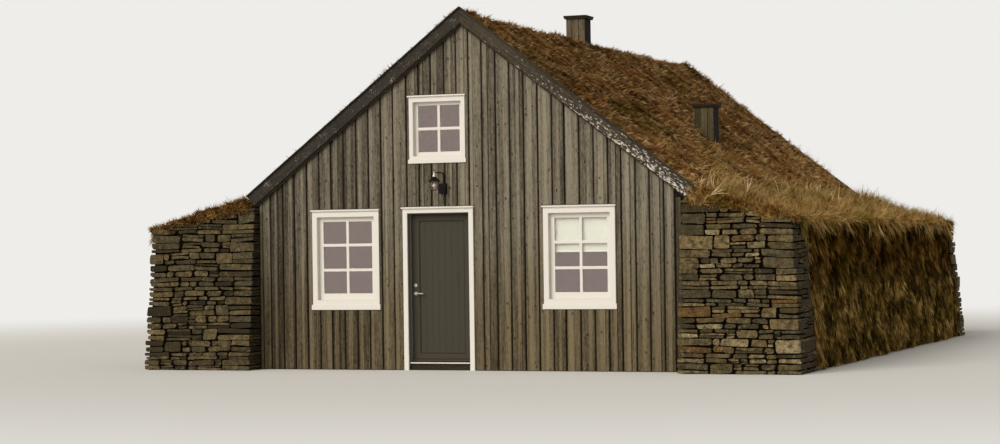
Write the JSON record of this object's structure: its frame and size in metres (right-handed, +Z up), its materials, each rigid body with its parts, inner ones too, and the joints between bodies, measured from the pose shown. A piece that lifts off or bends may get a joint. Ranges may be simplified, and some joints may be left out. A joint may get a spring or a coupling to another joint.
{
  "type": "turf house",
  "caption": "Low timber gable house with dry stone wall ends, thick turf side walls, a turf roof, box chimneys and a front door that opens inwards.",
  "frame": {"origin": "middle of the plan, on the ground", "axes": "+X to the right along the front, +Y from the front to the back, +Z up"},
  "size_m": [9.26, 12.11, 5.11],
  "materials": {
    "weathered_boards": "weathered vertical boards",
    "inner_wood": "plain sawn wood",
    "bargeboard": "weathered, flaking, with lichen",
    "dry_stone": "dry laid split slabs",
    "wall_turf": "packed turf under hanging grass",
    "roof_turf": "turf with short rusty grass",
    "dry_grass": "turf with long dry grass",
    "chimney_boards": "weathered boards",
    "chimney_cap": "dark tarred boards",
    "cream_paint": "cream oil paint",
    "window_glass": "clear sheet glass",
    "blind_cloth": "cream roller cloth",
    "grey_paint": "blue-grey paint",
    "threshold_paint": "cream strip over a dark board",
    "door_paint": "dark olive-brown paint",
    "satin_steel": "satin",
    "lamp_metal": "black enamel and worn zinc",
    "lamp_glass": "clear jar glass"
  },
  "bodies": {
    "house": {"ground_floor": "inner_wood", "front_wall_left": "weathered_boards", "front_wall_right": "weathered_boards", "front_gable": "weathered_boards", "back_gable_wall": "weathered_boards", "left_inner_wall": "inner_wood", "right_inner_wall": "inner_wood", "loft_joists": "inner_wood", "loft_floor": "inner_wood", "rafters": "inner_wood", "left_roof_boards": "inner_wood", "right_roof_boards": "inner_wood", "left_roof_turf": "roof_turf", "right_roof_turf": "roof_turf", "front_bargeboards": "bargeboard", "back_bargeboards": "bargeboard", "left_stone_end": "dry_stone", "right_stone_end": "dry_stone", "back_stone_wall": "dry_stone", "left_turf_wall": "wall_turf", "right_turf_wall": "wall_turf", "left_wall_top_turf": "dry_grass", "right_wall_top_turf": "dry_grass", "back_wall_top_turf": "dry_grass", "chimneys": "chimney_boards", "chimney_caps": "chimney_cap", "left_window_frame": "cream_paint", "left_window_sash": "cream_paint", "right_window_frame": "cream_paint", "right_window_sash": "cream_paint", "loft_window_frame": "cream_paint", "loft_window_sash": "cream_paint", "back_window": "cream_paint", "window_panes": "window_glass", "roller_blind": "blind_cloth", "door_casing": "cream_paint", "door_frame": "grey_paint", "threshold": "threshold_paint", "frame_hinges": "satin_steel", "lamp_bracket": "lamp_metal", "lamp_shade": "lamp_metal", "lamp_jar": "lamp_glass"},
    "door": {"door_leaf": "door_paint", "leaf_fittings": "satin_steel"},
    "handle": {"door_handle": "satin_steel"}
  },
  "joints": [
    {"name": "door_hinge", "type": "hinge", "parent": "house", "child": "door", "pos_m": [0.0555, -5.466, 1], "axis": [0, 0, -1], "range_deg": [0, 100]},
    {"name": "handle_turn", "type": "hinge", "parent": "door", "child": "handle", "pos_m": [-0.759, -5.5, 1.02], "axis": [0, 1, 0], "range_deg": [0, 40], "stiffness_Nm_per_rad": 0.6, "springref_deg": -45.84}
  ]
}
